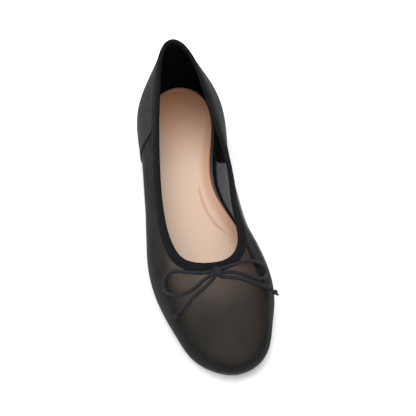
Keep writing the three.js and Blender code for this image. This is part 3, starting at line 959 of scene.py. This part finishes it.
def rubberFinish(name):
    f = Finish(name)
    place = f.place()
    x, y = (f.axis(place, axis) for axis in "XY")
    wave = y + (x * 260).sine() * soleLook["treadWave"]
    ribs = (wave * (2 * math.pi / soleLook["tread"])).sine().ramp(-0.5, 0.2)
    down = f.axis(f.node("NewGeometry", {}, {}, "Normal"), "Z").ramp(-0.5, -0.9)
    tread = y.ramp(*soleLook["ballEnd"]).most(y.ramp(*soleLook["heelStart"])) * down
    grain = f.noise(place, 900, 5)
    scuff = f.noise(f.stretch(place, (1, 0.4, 1)), 160, 5).ramp(0.5, 0.75)
    wear = scuff * 0.45 * down + grain * 0.2
    shade = f.mix(wear, colour(*soleLook["rubber"]), colour(*soleLook["worn"]))
    sockets = {
        "Base Color": shade, "Roughness": grain.ramp(0.2, 0.8, 0.5, 0.7),
        "Normal": f.bump(ribs * tread + grain * 0.12, 0.5 * mm, 0.8),
    }
    return f.finish(sockets)


def outsole():
    lip = sole["chamfer"]
    edge = [(lip + 2, 0, False)] + roundedEdge(lip, 0, False) + roundedEdge(0.3, 0, True, 3) + [(2, 0, True)]
    skin = plateSkin(lambda turns: np.full(len(turns), sole["inset"]), edge, underAt, topSoleAt)
    fitOut(addPiece("outsole_tread", [skin]), rubberFinish("sole rubber"), "sole_rubber", "outsole")


def heel():
    def ring(inset, height):
        breast = yAt(heelBlock["length"] / last["length"]) + inset
        start, stop = (
            turnWhere(lambda turn: outlineAt(turn, inset)[..., 1] - breast, side * 0.02, side * 0.22)
            for side in np.array([-1.0, 1.0])
        )
        back = outlineAt(np.linspace(start, stop, 110), inset)
        front = back[-1] + (back[0] - back[-1]) * (np.arange(1, 24) / 24)[:, None]
        points = np.concatenate([back, front])
        points[:, 2] = height
        return points

    lip, low = sole["chamfer"], heelBlock["inset"] + heelBlock["taper"]
    top = heelBlock["height"] - gap
    angles = np.linspace(math.pi / 2, 0, 5)
    rings = [ring(low + lip + 1.5, 0)]
    rings += [ring(low + lip * (1 - math.cos(a)), lip * (1 - math.sin(a))) for a in angles]
    for height, groove in (*soleLook["heelLines"], (top, 0)):
        share = (height - lip) / (top - lip)
        rings.append(ring(low + (heelBlock["inset"] - low) * share + groove, height))
    piece = addPiece("heel_block", [loopSkin(np.array(rings))])
    fitOut(piece, rubberFinish("heel rubber"), "heel_rubber", "heel")


outsole()
heel()
print("sole made")

# Insole: a bound board with a padded sock on it
insoleLook = {
    "board": (50, 57, 64),
    "boardDark": (24, 27, 32),
    "sock": (195, 168, 145),
    # The second sock colour is the sock in painted shade.
    "sockShaded": (175, 118, 85),
    "padCentre": (57.8 * mm, 19.4 * mm),
    "padRadius": 53.2 * mm,
    "padCrease": 1.8 * mm,
    # The span towards the heel where the sock's painted shade deepens.
    "seat": (35 * mm, 115 * mm),
}
leastInset = wall["thickness"] + 2.5 * gap


def sockInset(turns):
    return np.maximum(leastInset + insole["rim"], column["margin"](turns) * insole["margin"])


def baseInset(turns):
    return leastInset + (sockInset(turns) - leastInset - insole["rim"]) * insole["baseShare"]


def archAt(point):
    along = np.exp(-(((shareAt(point) - insole["archMiddle"]) / insole["reach"]) ** 2))
    return insole["archLift"] * along * np.clip(point[..., 0] / (0.25 * last["ballWidth"]), 0, 1) ** 2


def baseBottom(point, ring):
    return topSoleAt(point, ring) + gap


def baseTop(point, ring):
    return baseBottom(point, ring) + insole["base"] + archAt(point)


def sockBottom(point, ring):
    return baseTop(point, ring) + gap


def sockTop(point, ring):
    along = np.exp(-(((shareAt(point) - insole["cupMiddle"]) / insole["reach"]) ** 2))
    return sockBottom(point, ring) + insole["sock"] - insole["cup"] * along * (1 - ring**2)


def boardFinish():
    f = Finish("insole cover")
    fuzz = f.noise(f.place(), 600, 4)
    wander = f.noise(f.place(), 60, 3)
    mottle = fuzz * 0.5 + wander * 0.5
    shade = f.mix(mottle, colour(*insoleLook["boardDark"]), colour(*insoleLook["board"]))
    return f.finish({"Base Color": shade, "Roughness": 0.55, "Normal": f.bump(fuzz, 0.1 * mm, 0.5)})


def sockFinish():
    f = Finish("sock leather")
    place = f.place()
    x, y = (f.axis(place, axis) for axis in "XY")
    cells = f.node("TexVoronoi", {"feature": "DISTANCE_TO_EDGE"}, {"Vector": place, "Scale": 1400.0})
    pores = cells.ramp(0.0, 0.25)
    grain = f.noise(place, 500, 5)
    cloud = f.noise(place, 28, 3)
    # Painted shade: the sock turns darker and warmer towards the heel seat, along its rim by the walls and
    # in the pad's crease, with a little random mottle.
    seat = y.ramp(*insoleLook["seat"])
    rim = f.attribute("rim").ramp(0.68, 1.0)
    fromX, fromY = (value - centre for value, centre in zip((x, y), insoleLook["padCentre"]))
    away = ((fromX * fromX + fromY * fromY) ** 0.5 - insoleLook["padRadius"]).size()
    crease = away.ramp(insoleLook["padCrease"], 0.0) * y.ramp(-20 * mm, -10 * mm) * y.ramp(30 * mm, 15 * mm)
    shadeAndMottle = seat.most(rim * 0.7).most(crease * 0.7) * 0.9 + cloud * 0.1
    shade = f.mix(shadeAndMottle, colour(*insoleLook["sock"]), colour(*insoleLook["sockShaded"]))
    sockets = {
        "Base Color": shade, "Roughness": grain.ramp(0.25, 0.75, 0.42, 0.56),
        "Normal": f.bump(pores * 0.4 + grain * 0.6 - crease * 4, 0.06 * mm, 0.6),
    }
    return f.finish(sockets)


def insoleBoard():
    edge = [(0.5, 0, False)] + roundedEdge(0.3, 0, False, 3) + roundedEdge(0.7, 0, True) + [(1.6, 0, True)]
    skin = plateSkin(baseInset, edge, baseBottom, baseTop)
    fitOut(addPiece("insole_board", [skin]), boardFinish(), "insole_cover", "insole_base")


def sock():
    edge = [(1, 0, False)] + roundedEdge(0.3, 0, False, 3) + roundedEdge(1.1, 0, True, 7)
    edge += [(2, 0, True), (3.2, 0, True)]
    skin = plateSkin(sockInset, edge, sockBottom, sockTop)
    # Nearness to the sock's edges, where its finish paints shade.
    across = np.abs(2 * np.arange(1, plateColumns) / plateColumns - 1)
    rim = np.concatenate([np.ones(len(edge) * len(plateTurns)), np.tile(across, len(plateTurns))])
    piece = fitOut(addPiece("sock_pad", [skin], {"rim": rim}), sockFinish(), "sock_lining", "insole_sock")


insoleBoard()
sock()
print("insole made")

# Floor and soft studio light
studio = {
    "floor": (251, 251, 251),
    "floorGrain": (247, 247, 247),
    "floorReach": 3.0,
    "floorSteps": 12,
    "sky": 0.75,
    "lamps": [
        ("top", (-0.1, 0.3, 1.3), 1.8, 20),
        ("left", (-1.2, -0.3, 0.8), 0.9, 4),
        ("front", (0.4, -1.3, 0.9), 1.0, 7),
    ],
}


def floor():
    side, steps = studio["floorReach"], studio["floorSteps"]
    line = np.linspace(-side, side, steps)
    mesh = bpy.data.meshes.new("floor")
    points = [(x, y, 0) for y in line for x in line]
    faces = []
    for i in range(steps - 1):
        for j in range(steps - 1):
            first = i * steps + j
            faces.append((first, first + 1, first + steps + 1, first + steps))
    mesh.from_pydata(points, [], faces)
    made = bpy.data.objects.new("floor", mesh)
    bpy.context.scene.collection.objects.link(made)
    f = Finish("studio paper")
    grain = f.noise(f.place(), 400, 2)
    shade = f.mix(grain * 0.2, colour(*studio["floor"]), colour(*studio["floorGrain"]))
    mesh.materials.append(f.finish({"Base Color": shade, "Roughness": 0.9}))


def light():
    world = bpy.data.worlds.new("studio")
    world.use_nodes = True
    sky = world.node_tree.nodes["Background"].inputs
    sky["Color"].default_value = (1, 1, 1, 1)
    sky["Strength"].default_value = studio["sky"]
    bpy.context.scene.world = world
    for name, place, size, power in studio["lamps"]:
        lamp = bpy.data.lights.new(name, "AREA")
        lamp.shape = "DISK"
        lamp.size = size
        lamp.energy = power
        made = bpy.data.objects.new(name, lamp)
        made.location = place
        made.rotation_euler = Vector(place).to_track_quat("Z", "Y").to_euler()
        bpy.context.scene.collection.objects.link(made)


floor()
light()
bpy.context.scene.view_settings.view_transform = "Standard"
print("studio lit")
